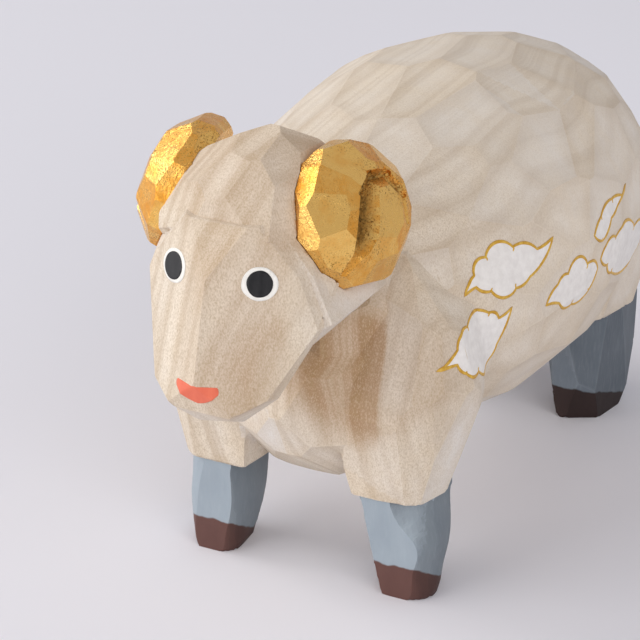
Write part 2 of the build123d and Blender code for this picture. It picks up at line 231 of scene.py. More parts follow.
@dataclass(frozen=True)
class WashedWood:
    """Pale hardwood, cut with a knife and rubbed with a thin greyish-white wash.

    The eye gets a chalky surface full of fine tan grain. Growth rings show through as soft upright bands,
    since every block is cut along the tree. The wash is thick on some cuts, gone on others, and the ridges
    between cuts are pale, partly rubbed and partly a painted highlight.
    """

    name: str = "knife_cut_wood_white_wash"
    pith: Pair = (-96.0, 12.0)  # where the tree's middle stood, mm
    ring_scale: float = 0.42  # broad bands per mm, with finer ones inside them
    ring_wander: float = 9.0  # how far a band strays, mm
    grain_scale: Triple = (5.2, 5.2, 2.6)  # pores of a fifth of a mm
    chest: Pair = (-42.0, -8.0)  # Y where bands are strongest, and faint, mm
    bright: str = "ECDFCD"
    ground: str = "DCCBB2"
    ring_tone: str = "AA8D66"
    grain_tone: str = "A58D6A"
    bare_tone: str = "A67C56"
    wash_tone: str = "E8E3DD"
    wash_share: float = 0.42
    ring_share: float = 0.75

    def material(self) -> Material:
        """Builds the finish.

        Returns:
            The node material. It reads the piece's "bare" attribute (1 where the wash is rubbed off, -1 where
            it is thick), "facet" (a number for each knife cut) and "ridge_gap" (mm to the nearest ridge).
        """
        mix = Mixture(bpy.data.materials.new(self.name))
        add, per_mm = mix.add, mix.per_mm
        broad, drift, grain, fibre, blotch = (
            add("TexNoise", per_mm(*scale), sockets={"Scale": 1, "Detail": detail, "Roughness": roughness})
            for scale, detail, roughness in (
                ((0.06, 0.06, 0.03), 3, 0.6), ((0.035, 0.035, 0.02), 1, 0.5), (self.grain_scale, 2, 0.6),
                ((2.2, 2.2, 0.12), 3, 0.7), ((0.2, 0.2, 0.12), 5, 0.65)))
        bare, facet, ridge = mix.read("bare", "facet", "ridge_gap")

        # Growth rings: bands by the distance from the pith, strong in some places and weak in others
        spot = add("SeparateXYZ", per_mm(1, 1, 1))
        east = add("Math", spot.outputs["X"], self.pith[0], **LESS)
        north = add("Math", spot.outputs["Y"], self.pith[1], **LESS)
        reach = add("VectorMath", add("CombineXYZ", east, north), operation="LENGTH")
        wander = add("Math", drift, self.ring_wander, reach, **TIMES_PLUS)
        ragged = add("Math", fibre, 0.2, wander, **TIMES_PLUS)
        rings = add("Math", ragged, self.ring_scale, **TIMES)
        banded = {"W": rings, "Scale": 1, "Detail": 4, "Roughness": 0.6}
        band = add("TexNoise", sockets=banded, noise_dimensions="1D")
        band_share = add("MapRange", band, 0.42, 0.74, 0, self.ring_share)
        local = add("MapRange", blotch, 0.3, 0.62, 0.5, 1)
        calm = add("MapRange", spot.outputs["Y"], *self.chest, 1, 0.62)
        mild = add("Math", local, calm, **TIMES)
        ring_share = add("Math", band_share, mild, **TIMES_CLAMPED)

        # Bare wood shows its bands, and some wash is left between its fibres
        streaked = add("MapRange", band, 0.36, 0.6, 0.5, 1)
        bared_share = add("Math", bare, streaked, **TIMES_CLAMPED)
        left_over = add("MapRange", grain, 0.34, 0.52, 0.3, 0)
        left_share = add("Math", left_over, bared_share, **TIMES_CLAMPED)

        # White wash: thicker on some cuts and in patches, gone where the wood is bare
        by_cut = add("Math", facet, 0.16, -0.08, **TIMES_PLUS)
        patch = add("MapRange", blotch, 0.3, 0.7, self.wash_share * 0.6, self.wash_share * 1.3)
        coat = add("Math", patch, by_cut)
        covered = add("Math", 1, bare, **LESS)
        wash_share = add("Math", coat, covered, **TIMES_CLAMPED)

        # Fine grain lies over all: dark in the pores, fainter where the wash is thick and towards the tail
        pore = add("MapRange", grain, 0.42, 0.68, 0, 0.42)
        thread = add("MapRange", fibre, 0.5, 0.72, 0, 0.16)
        dark = add("Math", pore, thread)
        worn = add("MapRange", wash_share, 0, 1, 1.25, 0.45)
        smoother = add("MapRange", spot.outputs["Y"], -36, 0, 1, 0.5)
        depth = add("Math", worn, smoother, **TIMES)
        grain_share = add("Math", dark, depth, **TIMES_CLAMPED)

        # Ridges: a pale line, partly rubbed wash and partly painted highlight standing in for a rounded edge
        # catching light, and a little tan beside it where the rag took the wash off
        beside = add("MapRange", ridge, 0.3, 3, 0.2, 0)
        beside_share = add("Math", beside, local, **TIMES_CLAMPED)
        ridge_part = add("MapRange", broad, 0.47, 0.62)
        washed = add("MapRange", bare, 0.1, 0.5, 1, 0.1)
        ridge_share = add("Math", ridge_part, washed, **TIMES)
        line = add("MapRange", ridge, 0.04, 0.22, 0.26, 0)
        ridge_wear_and_highlight_share = add("Math", line, ridge_share, **TIMES_CLAMPED)

        colour = mix.glaze(
            self.bright, (broad, self.ground), (bared_share, self.bare_tone), (ring_share, self.ring_tone),
            (wash_share, self.wash_tone), (grain_share, self.grain_tone), (left_share, self.bright),
            (beside_share, self.ring_tone), (ridge_wear_and_highlight_share, self.bright))
        relief = add("Math", fibre, pore, **LESS)
        bump = add("Bump", sockets={"Height": relief, "Strength": 0.2, "Distance": 0.1 * MM})
        sheen = add("MapRange", blotch, 0, 1, 0.6, 0.8)
        return mix.close({"Base Color": colour, "Roughness": sheen, "IOR": 1.5, "Normal": bump})


@dataclass(frozen=True)
class GoldLeaf:
    """Gold leaf laid over brown size on carved wood: a soft broken mirror.

    The eye gets a warm shine that changes from cut to cut, fine dark pits where the leaf broke, faint
    wrinkles where leaves lap, and brown in the groove, where it didn't reach. That brown is also painted
    shade, darker the deeper the groove.
    """

    name: str = "gold_leaf_over_brown_size"
    bright: str = "FDCC74"
    deep: str = "EDA23C"
    pit_tone: str = "8A5A1E"
    size_tone: str = "6A4E1E"

    def material(self) -> Material:
        """Builds the finish.

        Returns:
            The node material. It reads the piece's "hollow" attribute (1 in the groove), "facet" (a number
            for each knife cut) and "ridge_gap" (mm to the nearest ridge).
        """
        mix = Mixture(bpy.data.materials.new(self.name))
        add, per_mm = mix.add, mix.per_mm
        wrinkle, lap, pits, crinkle, crowd = (
            add("TexNoise", per_mm(*scale), sockets={
                "Scale": 1, "Detail": detail, "Roughness": roughness, "Distortion": distortion})
            for scale, detail, roughness, distortion in (
                ((0.8, 0.8, 0.55), 5, 0.6, 1.2), ((0.4, 0.4, 0.4), 5, 0.65, 0), ((4, 4, 4), 2, 0.6, 0),
                ((2.6, 2.6, 2.6), 3, 0.65, 0), ((0.16, 0.16, 0.16), 2, 0.5, 0)))
        hollow, facet, ridge = mix.read("hollow", "facet", "ridge_gap")

        # Two golds, by cut and where leaves lap
        lap_share = add("MapRange", lap, 0.35, 0.65)
        cut_share = add("MapRange", hollow, 0, 0.4, 0.7, 0)
        leaf_share = add("Math", facet, cut_share, lap_share, **TIMES_PLUS)
        deep_share = add("Math", leaf_share, 0.66, **TIMES_CLAMPED)

        # Pits in crowds, and ridges rubbed thin
        crowd_share = add("MapRange", crowd, 0.4, 0.6, 0.15, 1)
        broken = add("MapRange", pits, 0.54, 0.68, 0, 0.8)
        pitted = add("Math", broken, crowd_share, **TIMES_CLAMPED)
        rubbed = add("MapRange", ridge, 0, 0.16, 0.06, 0)
        thin = add("Math", pitted, rubbed, **LARGER)

        # Torn leaf in the groove shows the brown size; that brown deepens with the groove's depth and is also
        # painted shade
        torn = add("MapRange", wrinkle, 0.36, 0.62, 0.5, 1)
        size_and_shade_share = add("Math", hollow, torn, **TIMES_CLAMPED)
        metal = add("MapRange", size_and_shade_share, 0, 1, 1, 0.6)

        colour = mix.glaze(
            self.bright, (deep_share, self.deep), (thin, self.pit_tone), (size_and_shade_share, self.size_tone))
        folds = add("Math", crinkle, 0.45, wrinkle, **TIMES_PLUS)
        height = add("Math", pitted, -0.5, folds, **TIMES_PLUS)
        rumple = add("MapRange", hollow, 0, 0.6, 0.42, 0.6)
        bump = add("Bump", sockets={"Height": height, "Strength": rumple, "Distance": 0.3 * MM})
        gloss = add("MapRange", lap, 0.3, 0.7, 0.22, 0.34)
        return mix.close({"Base Color": colour, "Metallic": metal, "Roughness": gloss, "Normal": bump})


@dataclass(frozen=True)
class HoofMask:
    """Where a leg's brown hoof ends: a sloped plane that climbs towards the front, in mm."""

    front_y: float
    front_height: float
    rise: float
    least_height: float = 0.4


@dataclass(frozen=True)
class LegPaint:
    """Matte water paint on sanded wood: grey-blue leg, brown hoof with a brushed edge.

    The eye gets a dull, slightly cloudy coat. The wood's fibres show faintly through, and knife edges are
    a little lighter, partly rubbed and partly painted highlight. Cuts facing +X carry painted shade.
    """

    hoof: HoofMask
    name: str = "matte_leg_paint"
    blue: str = "A0ABB3"
    deep_blue: str = "8F9AA4"
    brown: str = "65423A"
    deep_brown: str = "573832"
    # how much darker the cuts facing +X are painted, as painted shade
    side_share: float = 0.42
    rubbed: str = "B9C0C4"

    def material(self) -> Material:
        """Builds the finish.

        Returns:
            The node material. It reads the piece's "facet" and "ridge_gap" attributes.
        """
        mix = Mixture(bpy.data.materials.new(self.name))
        add, per_mm = mix.add, mix.per_mm
        cloudy, fibre, waver = (
            add("TexNoise", per_mm(*scale), sockets={"Scale": 1, "Detail": detail, "Roughness": roughness})
            for scale, detail, roughness in (
                ((0.25, 0.25, 0.12), 5, 0.6), ((2.4, 2.4, 0.3), 3, 0.7), ((0.35, 0.35, 0.35), 2, 0.5)))
        facet, ridge = mix.read("facet", "ridge_gap")

        # The hoof ends at its plane, with the brush's wavering
        spot = add("SeparateXYZ", per_mm(1, 1, 1))
        back = add("Math", spot.outputs["Y"], self.hoof.front_y, **LESS)
        line = add("Math", back, -self.hoof.rise, self.hoof.front_height, **TIMES_PLUS)
        least = add("Math", line, self.hoof.least_height, **LARGER)
        wavy = add("Math", waver, 1.2, least, **TIMES_PLUS)
        over = add("Math", spot.outputs["Z"], wavy, **LESS)
        hoof = add("MapRange", over, 0.45, 0.75, 1, 0)

        # Both colours are deeper on some cuts and in clouds
        shade = add("MapRange", cloudy, 0.25, 0.75)
        by_cut = add("Math", facet, 0.4, shade, **TIMES_PLUS)
        tone = add("Math", by_cut, 0.7, **TIMES_CLAMPED)
        brown = mix.glaze(self.brown, (tone, self.deep_brown))
        paint = mix.glaze(self.blue, (tone, self.deep_blue), (hoof, brown))

        # Painted shade: cuts that face +X, away from the window lamps, are darkened by up to the side shade
        # share
        facing = add("SeparateXYZ", add("NewGeometry").outputs["True Normal"])
        side_shade_factor = add("MapRange", facing.outputs["X"], 0.3, 0.75, 1, 1 - self.side_share)
        side_shaded_paint = add("VectorMath", paint, sockets={"Scale": side_shade_factor}, operation="SCALE")

        # Fibres and knife edges are a little lighter above the hoof; on the edges this is partly rubbed paint
        # and partly painted highlight
        streak = add("MapRange", fibre, 0.5, 0.8, 0, 0.12)
        edge = add("MapRange", ridge, 0.05, 0.3, 0.07, 0)
        above = add("Math", hoof, -1, 1, **TIMES_PLUS)
        thin = add("Math", add("Math", streak, edge), above, **TIMES_CLAMPED)
        bump = add("Bump", sockets={"Height": fibre, "Strength": 0.22, "Distance": 0.12 * MM})
        sheen = add("MapRange", cloudy, 0, 1, 0.5, 0.7)
        colour = mix.glaze(side_shaded_paint, (thin, self.rubbed))
        return mix.close({"Base Color": colour, "Roughness": sheen, "IOR": 1.48, "Normal": bump})


@dataclass(frozen=True)
class MattePaint:
    """Brushed water paint, matte, with faint strokes. The eye gets a flat, clean colour with soft edges."""

    name: str
    tone: Tone
    thin_tone: Tone
    roughness: float = 0.6
    stroke: Triple = (0.9, 0.9, 0.25)  # brush marks per mm

    def material(self) -> Material:
        """Builds the finish.

        Returns:
            The node material.
        """
        mix = Mixture(bpy.data.materials.new(self.name))
        brushed = {"Scale": 1, "Detail": 4, "Roughness": 0.6}
        brush = mix.add("TexNoise", mix.per_mm(*self.stroke), sockets=brushed)
        share = mix.add("MapRange", brush, 0.3, 0.7)
        colour = mix.glaze(self.tone.value, (share, self.thin_tone.value))
        bump = mix.add("Bump", sockets={"Height": brush, "Strength": 0.15, "Distance": 0.08 * MM})
        return mix.close({"Base Color": colour, "Roughness": self.roughness, "IOR": 1.48, "Normal": bump})


@dataclass(frozen=True)
class GoldPaint:
    """Gold powder in glue, drawn with a fine brush.

    The eye gets a grainy line, half metal, brighter where it lies thick.
    """

    name: str = "brushed_gold_powder_paint"
    bright: str = "F0C65C"
    deep: str = "D49E30"

    def material(self) -> Material:
        """Builds the finish.

        Returns:
            The node material.
        """
        mix = Mixture(bpy.data.materials.new(self.name))
        powder = {"Scale": 1, "Detail": 5, "Roughness": 0.7}
        grain = mix.add("TexNoise", mix.per_mm(1.1, 1.1, 1.1), sockets=powder)
        share = mix.add("MapRange", grain, 0.35, 0.65)
        colour = mix.glaze(self.bright, (share, self.deep))
        bump = mix.add("Bump", sockets={"Height": grain, "Strength": 0.3, "Distance": 0.1 * MM})
        return mix.close({"Base Color": colour, "Metallic": 0.55, "Roughness": 0.42, "Normal": bump})


# Making and laying of pieces


def own_piece(name: str, shell: BMesh) -> Object:
    """Makes a shown object of a bmesh and frees the bmesh.

    Args:
        name: The piece's name.
        shell: Its geometry, in metres, in place.

    Returns:
        The object, at the origin.
    """
    mesh = bpy.data.meshes.new(name)
    shell.to_mesh(mesh)
    shell.free()
    return add_object(name, mesh)


def finish_piece(piece: Object, material: Material, slot: str, *nodes: str) -> None:
    """Dresses a piece, hides the CAD nodes it stands for and hangs it on the body.

    Args:
        piece: The piece.
        material: Its finish.
        slot: The material slot it would take its finish from; not used.
        nodes: CAD nodes that it stands for.
    """
    piece.data.materials.clear()
    piece.data.materials.append(material)
    if nodes:
        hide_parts(*nodes)
    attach(piece, BODY)
    log.info("%s: %d faces", piece.name, len(piece.data.polygons))


def write_attribute(piece: Object, name: str, rule: Callable[[Vector], float]) -> None:
    """Stores under a name what a rule gives for every point of a piece in mm, for its material to read."""
    layer = piece.data.attributes.new(name, "FLOAT", "POINT")
    layer.data.foreach_set("value", [rule(vertex.co / MM) for vertex in piece.data.vertices])


def relax(shell: BMesh, verts: Sequence[BMVert], times: int, upright: bool = True) -> None:
    """Smooths points towards their neighbours and leaves no crease at them.

    Args:
        shell: The points' bmesh.
        verts: The points.
        times: How often they are smoothed.
        upright: Whether they also move up and down.
    """
    for _ in range(times):
        bmesh.ops.smooth_vert(
            shell, verts=verts, factor=0.5, use_axis_x=True, use_axis_y=True, use_axis_z=upright)
    for edge in {edge for vert in verts for edge in vert.link_edges}:
        edge.smooth = True


def close_cut(shell: BMesh, crisp: bool) -> None:
    """Closes a cut skin with a flat face.

    Args:
        shell: The skin, changed in place.
        crisp: Whether the cut gets a crisp edge.
    """
    rim = [edge for edge in shell.edges if len(edge.link_faces) == 1]
    for edge in rim if crisp else ():
        edge.smooth = False
    bmesh.ops.holes_fill(shell, edges=rim)
    bmesh.ops.recalc_face_normals(shell, faces=shell.faces)


@dataclass(frozen=True)
class Sanding:
    """How finely a carved block is rebuilt and how far its flat cuts waver, in mm."""

    voxel: float
    knife_depth: float = 0.05
    knife_length: float = 5.0


class KnifeWork:
    """What the knife left on some CAD blocks: flat cuts, and creases where two cuts meet."""

    LEAST_ANGLE = math.radians(5)  # cuts that meet at less than this count as one
    CRISP_ANGLE = math.radians(6)  # creases sharper than this are shown crisp
    ONE_CUT = 0.996  # cosine from which two normals belong to one cut
    ON_CREASE = 0.25  # a point goes on a crease that is nearer than this share of the spacing
    BY_CREASE = 0.95  # and the nearer of two points on either side of one, nearer than this
    STEP = 0.35  # spacing of the marks by which creases are found, mm
    SPREAD = 37  # times a cut's normal, to find the number that the cut gets

    def __init__(self, *nodes: str) -> None:
        """Reads the blocks.

        Args:
            nodes: The CAD nodes, read together where they meet flush.
        """
        self.block = bmesh.new()
        for node in nodes:
            self.block.from_mesh(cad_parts[node].data)
        bmesh.ops.remove_doubles(self.block, verts=self.block.verts, dist=0.001 * MM)
        self.cuts = BVHTree.FromBMesh(self.block)
        self.normals = [face.normal.copy() for face in self.block.faces]
        bent = [edge for edge in self.block.edges if abs(edge.calc_face_angle_signed(0.0)) > self.LEAST_ANGLE]
        self.creases = self._marks(bent)
        self.ridges = self._marks([edge for edge in bent if edge.calc_face_angle_signed(0.0) > 0])

    def _marks(self, edges: Sequence[BMEdge]) -> Marks:
        """Sets marks along edges.

        Args:
            edges: The edges.

        Returns:
            A search tree over the marks, and each mark's edge as its two ends.
        """
        spots, owners = [], []
        for edge in edges:
            start, end = (vert.co.copy() for vert in edge.verts)
            count = max(1, math.ceil((end - start).length / (self.STEP * MM)))
            for index in range(count + 1):
                spots.append(start.lerp(end, index / count))
                owners.append((start, end))
        tree = KDTree(len(spots))
        for index, spot in enumerate(spots):
            tree.insert(spot, index)
        tree.balance()
        return tree, owners

    @staticmethod
    def nearest(marks: Marks, spot: Vector) -> Vector:
        """Finds the nearest point on the marked edges.

        Args:
            marks: What _marks gave for them.
            spot: Where to look from, in metres.

        Returns:
            The point, in metres.
        """
        tree, owners = marks
        start, end = owners[tree.find(spot)[1]]
        share = (spot - start).dot(end - start) / max((end - start).length_squared, 1e-18)
        return start.lerp(end, min(1.0, max(0.0, share)))

    def skin(self, sanding: Sanding) -> BMesh:
        """Copies the blocks into one closed fine skin that keeps their cuts flat and their creases crisp.

        Args:
            sanding: How finely, and how far the cuts waver.

        Returns:
            The skin as a bmesh, in metres.
        """
        piece = own_piece("rough", self.block.copy())
        remesh = piece.modifiers.new("skin", "REMESH")
        remesh.mode = "VOXEL"
        remesh.voxel_size = sanding.voxel * MM
        shell = shown_mesh(piece)
        relax(shell, shell.verts, 1)
        self._settle(shell, sanding.voxel)
        on_crease = [vert for vert in shell.verts if vert.tag]
        bmesh.ops.connect_verts(shell, verts=on_crease)
        bmesh.ops.dissolve_degenerate(shell, edges=shell.edges, dist=0.02 * MM)
        shell.normal_update()
        settled = {vert for vert in on_crease if vert.is_valid}
        for face in shell.faces:
            face.smooth = True
        for edge in shell.edges:
            sharp = edge.calc_face_angle(0.0) > self.CRISP_ANGLE
            edge.smooth = not (sharp and settled.issuperset(edge.verts))
        for vert in shell.verts:
            depth = noise.noise(vert.co / (sanding.knife_length * MM)) * sanding.knife_depth
            vert.co += vert.normal * (depth * MM)
        return shell

    def _settle(self, shell: BMesh, voxel: float) -> None:
        """Lays every point of a rough skin flat on its cut, and one row of points on each crease.

        Args:
            shell: The rough skin, changed in place. Points on a crease come out tagged.
            voxel: The skin's spacing, mm.
        """
        shell.verts.ensure_lookup_table()
        shell.verts.index_update()
        flats, normals, creases, gaps = [], [], [], []
        for vert in shell.verts:
            flat, _, index, _ = self.cuts.find_nearest(vert.co)
            crease = self.nearest(self.creases, vert.co)
            flats.append(flat)
            normals.append(self.normals[index])
            creases.append(crease)
            gaps.append((crease - vert.co).length)
            vert.tag = gaps[-1] < self.ON_CREASE * voxel * MM
        for edge in shell.edges:
            one, other = edge.verts
            if one.tag or other.tag or normals[one.index].dot(normals[other.index]) > self.ONE_CUT:
                continue
            nearer = one if gaps[one.index] < gaps[other.index] else other
            nearer.tag = gaps[nearer.index] < self.BY_CREASE * voxel * MM
        for vert in shell.verts:
            if vert.tag:
                vert.co = creases[vert.index]
            elif (flats[vert.index] - vert.co).length < voxel * MM:
                vert.co = flats[vert.index]

    def piece(self, name: str, shell: BMesh) -> Object:
        """Makes a piece of the skin and stores for its finish what the knife did where.

        Args:
            name: The piece's name.
            shell: The skin or a part of it, freed here.

        Returns:
            The piece. It has "facet", 0 to 1 by cut, on its faces and "ridge_gap", mm to the nearest ridge.
        """
        made = own_piece(name, shell)
        normals = (self.normals[self.cuts.find_nearest(face.center)[2]] for face in made.data.polygons)
        facet = made.data.attributes.new("facet", "FLOAT", "FACE")
        facet.data.foreach_set("value", [noise.cell(normal * self.SPREAD) for normal in normals])
        write_attribute(made, "ridge_gap", self._ridge_gap)
        return made

    def _ridge_gap(self, point: Vector) -> float:
        """How far a point is from the nearest ridge, both in mm."""
        return (self.nearest(self.ridges, point * MM) - point * MM).length / MM


@dataclass(frozen=True)
class Board:
    """A drawing board held before the sheep: X runs across it, Y up it, and it faces along its normal."""

    centre: Vector
    azimuth: float
    elevation: float

    HEADROOM = 12  # how far above the board the way down to the wood begins, mm

    @property
    def turn(self) -> Matrix:
        """Columns across, up and out of the board."""
        return facing(self.azimuth, self.elevation)

    def mirrored(self) -> "Board":
        """The same board on the sheep's other side."""
        x, y, z = self.centre
        return Board(Vector((2 * MIDDLE - x, y, z)), -self.azimuth, self.elevation)

    def lay(self, shell: BMesh, carrier: BVHTree, lift: float, flatten: float = 1.0) -> None:
        """Lays a drawing on the surface under the board.

        Args:
            shell: The drawing on the board, in mm, changed into metres in place.
            carrier: The surface that carries the drawing.
            lift: How far off the surface height 0 of the drawing lies, in mm.
            flatten: Times the drawing's height.
        """
        across, up, out = self.turn.col
        for vert in shell.verts:
            spot = self.centre + across * vert.co.x + up * vert.co.y
            hit = carrier.ray_cast((spot + out * self.HEADROOM) * MM, -out)[0]
            ground = spot * MM if hit is None else hit
            vert.co = ground + out * ((lift + vert.co.z * flatten) * MM)
        for face in shell.faces:
            face.smooth = True


@dataclass(frozen=True)
class Film:
    """A film of paint, in mm: its thickness, the fields it is cut into so that it can bend, and its lift."""

    thickness: float
    grid: float
    lift: float

    def lay(self, name: str, shape: BMesh, board: Board, carrier: BVHTree, paint: Material) -> None:
        """Makes a closed film of a flat shape and lays it on the wood.

        Args:
            name: The piece's name.
            shape: A flat shape on the board, in mm, at height 0, freed here.
            board: The board.
            carrier: The surface under the board.
            paint: The film's finish.
        """
        for axis in (0, 1):
            places = [vert.co[axis] for vert in shape.verts]
            low, high = min(places), max(places)
            for step in range(1, int((high - low) / self.grid) + 1):
                spot, cut = Vector(), Vector()
                spot[axis], cut[axis] = low + step * self.grid, 1
                geometry = [*shape.verts, *shape.edges, *shape.faces]
                bmesh.ops.bisect_plane(shape, geom=geometry, dist=1e-4, plane_co=spot, plane_no=cut)
        bmesh.ops.remove_doubles(shape, verts=shape.verts, dist=0.004)
        raised = bmesh.ops.extrude_face_region(shape, geom=shape.faces[:])
        for vert in (item for item in raised["geom"] if isinstance(item, BMVert)):
            vert.co.z += self.thickness
        bmesh.ops.recalc_face_normals(shape, faces=shape.faces)
        board.lay(shape, carrier, self.lift)
        finish_piece(own_piece(name, shape), paint, "pale_wood")


@dataclass(frozen=True)
class Arc:
    """One stroke of an outline: on to a point, bulging outwards by some mm. A curl turns in where it ends."""

    x: float
    y: float
    bulge: float
    curl: float = 0.0


@dataclass(frozen=True)
class Drawing:
    """A closed outline on a board, in mm. Its arcs run clockwise, the last one back to the start."""

    board: Board
    start: Pair
    arcs: tuple[Arc, ...]
    hand: int = 1  # -1 where it is drawn left for right

    def mirrored(self) -> "Drawing":
        """The same drawing on the sheep's other side."""
        return Drawing(self.board.mirrored(), self.start, self.arcs, -self.hand)

    def _strokes(self) -> Iterable[tuple[Vector, Vector, Arc]]:
        """Yields where each arc begins, where it ends, and the arc."""
        ends = [Vector((*self.start, 0)), *(Vector((arc.x, arc.y, 0)) for arc in self.arcs)]
        return zip(ends, ends[1:], self.arcs)

    def _knots(self) -> list[Knot]:
        """Turns the outline into Bezier knots.

        Returns:
            Point, left handle, right handle and brush width share of each knot, two for every arc.
        """
        corners, crests = [], []
        for tail, head, arc in self._strokes():
            half = (head - tail).length / 2
            along = (head - tail).normalized()
            out = Vector((-along.y, along.x, 0))
            spread = 2 * math.atan2(arc.bulge, half)
            reach = half / 3
            if abs(arc.bulge) > 1e-3:
                radius = (half**2 + arc.bulge**2) / (2 * abs(arc.bulge))
                reach = 4 / 3 * math.tan(abs(spread) / 4) * radius
            leave = along * math.cos(spread) + out * math.sin(spread)
            arrive = along * math.cos(spread) - out * math.sin(spread)
            crest = (tail + head) / 2 + out * arc.bulge
            crests.append((crest, crest - along * reach, crest + along * reach, 1.0))
            corners.append((tail, tail + leave * reach, head - arrive * reach))
        knots = []
        for index, (corner, after, _) in enumerate(corners):
            knots += [(corner, corners[index - 1][2], after, 0.8), crests[index]]
        return knots

    def _curls(self) -> list[list[Knot]]:
        """Works out short strokes that run in from the corners.

        Returns:
            The two knots of each curl, as _knots gives them.
        """
        curls = []
        for tail, head, arc in self._strokes():
            if arc.curl:
                along = (head - tail).normalized()
                inward = Vector((along.y, -along.x, 0))
                leave = head + (inward * 0.3 + along * 0.25) * arc.curl
                end = head + (inward - along * 0.35) * arc.curl
                arrive = end + (along * 0.5 - inward * 0.2) * arc.curl
                curls.append([(head, head, leave, 0.7), (end, arrive, end, 0.55)])
        return curls

    def shape(self, width: float = 0.0) -> BMesh:
        """Draws the outline on its board.

        Args:
            width: Brush width in mm, or 0 for a filled flat shape.

        Returns:
            The drawing, in mm.
        """
        data = bpy.data.curves.new("outline", "CURVE")
        data.resolution_u = 6
        data.dimensions = "3D" if width else "2D"
        data.fill_mode = "FULL" if width else "BOTH"
        data.bevel_depth = width / 2
        data.bevel_resolution = 2
        data.twist_mode = "Z_UP"
        data.use_fill_caps = True
        self._add_spline(data, self._knots(), True)
        for curl in self._curls() if width else ():
            self._add_spline(data, curl, False)
        shell = shown_mesh(add_object("outline", data))
        bmesh.ops.remove_doubles(shell, verts=shell.verts, dist=0.002)
        return shell

    def _add_spline(self, data: Curve, knots: Sequence, cyclic: bool) -> None:
        """Adds a Bezier spline to a curve.

        Args:
            data: The curve.
            knots: Its knots, as _knots gives them.
            cyclic: Whether it closes.
        """
        spline = data.splines.new("BEZIER")
        spline.bezier_points.add(len(knots) - 1)
        spline.use_cyclic_u = cyclic
        for point, (*spots, share) in zip(spline.bezier_points, knots):
            point.handle_left_type = point.handle_right_type = "FREE"
            point.co, point.handle_left, point.handle_right = ((v.x * self.hand, v.y, v.z) for v in spots)
            point.radius = share


def shown_mesh(piece: Object) -> BMesh:
    """Turns an object, with its modifiers, into a bmesh.

    Args:
        piece: The object, removed here.

    Returns:
        The bmesh.
    """
    mesh = bpy.data.meshes.new_from_object(piece.evaluated_get(bpy.context.evaluated_depsgraph_get()))
    shell = bmesh.new()
    shell.from_mesh(mesh)
    bpy.data.objects.remove(piece)
    bpy.data.meshes.remove(mesh)
    return shell


# Sub-assemblies


@dataclass(frozen=True)
class Patch:
    """A round place on the wood, in mm, and how much it gets of what its list is for."""

    x: float
    y: float
    z: float
    radius: float
    amount: float
    stop: float = 99.0  # X of a knife cut that ends the place

    BARE_REACH = 1.6  # radii over which bareness fades
    STOP_BLUR = 0.6  # mm over which it stops at a cut

    def away(self, point: Vector) -> float:
        """How far a point in mm is from the middle, as a share of the radius."""
        return (point - Vector((self.x, self.y, self.z))).length / self.radius


def bareness(patches: Sequence[Patch], point: Vector) -> float:
    """How far the wash is gone.

    Args:
        patches: The rubbed places.
        point: A point in mm.

    Returns:
        0 under plain wash, up to 1 on bare wood and down to -1 under thick wash.
    """
    total = 0.0
    for patch in patches:
        fade = 1 - (patch.away(point) / patch.BARE_REACH) ** 2
        before_stop = min(1.0, max(0.0, (patch.stop - point.x) / patch.STOP_BLUR))
        total += patch.amount * max(0.0, fade) * before_stop
    return max(-1.0, min(1.0, total))


@dataclass(frozen=True)
class LegPair:
    """The two legs at one end of the body: their seats under the cuffs, in mm, and their paint."""

    end: str
    axis: float  # Y of the middle
    seat_height: float
    seat_fall: float  # towards the tail, per mm
    room: Pair  # what is still leg before and behind its CAD box: the belly hangs close by
    paint: LegPaint
    sliced: bool  # whether the carver's last cut took a flat slice off the front

    SIDE_ROOM = 3.5
    TENON = 5.0  # how far the CAD leg goes up into the body, at least
    CUFF_GAP = 1.2  # how far under the cuff the rounding begins
    ROUNDS = 14
    SLICE_Y = -39.7
    SLICE_LEAN = 0.012

    def node(self, side: Side) -> str:
        """The CAD node of one of the legs."""
        return f"leg_{self.end}_{side.word}"

    def part(self, shell: BMesh, side: Side, keep_leg: bool) -> None:
        """Cuts a leg off the skin at its seat and closes the cut.

        Args:
            shell: The skin, changed in place.
            side: Which leg.
            keep_leg: Keeps the leg alone if true, and all but the leg if not.
        """
        low, high = (Vector(corner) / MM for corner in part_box(self.node(side)))
        left, right = low.x - self.SIDE_ROOM, high.x + self.SIDE_ROOM
        front, back = low.y - self.room[0], high.y + self.room[1]
        seat = Vector((0, self.seat_fall, 1)).normalized()
        spot = place(0, self.axis, self.seat_height)

        def beside(face: BMFace) -> bool:
            """Whether a face is in the leg's upright column."""
            x, y, z = face.calc_center_median() / MM
            return left < x < right and front < y < back and z < high.z - self.TENON

        column = [face for face in shell.faces if beside(face)]
        geometry = list({item for face in column for item in (*face.verts, *face.edges, face)})
        bmesh.ops.bisect_plane(shell, geom=geometry, dist=1e-7, plane_co=spot, plane_no=seat)
        leg = {
            face for face in shell.faces if beside(face) and (face.calc_center_median() - spot).dot(seat) < 0}
        doomed = [face for face in shell.faces if (face in leg) != keep_leg]
        bmesh.ops.delete(shell, geom=doomed, context="FACES")
        close_cut(shell, crisp=False)

    def slice_front(self, leg: BMesh) -> None:
        """Rounds a leg below its cuff and takes one flat slice off its front.

        Args:
            leg: The leg's closed skin, changed in place.
        """
        top = (self.seat_height - self.CUFF_GAP) * MM
        relax(leg, [vert for vert in leg.verts if vert.co.z < top], self.ROUNDS, upright=False)
        front = {"plane_co": place(0, self.SLICE_Y, 8), "plane_no": Vector((0, -1, self.SLICE_LEAN))}
        geometry = [*leg.verts, *leg.edges, *leg.faces]
        bmesh.ops.bisect_plane(leg, geom=geometry, dist=1e-7, clear_outer=True, **front)
        close_cut(leg, crisp=True)


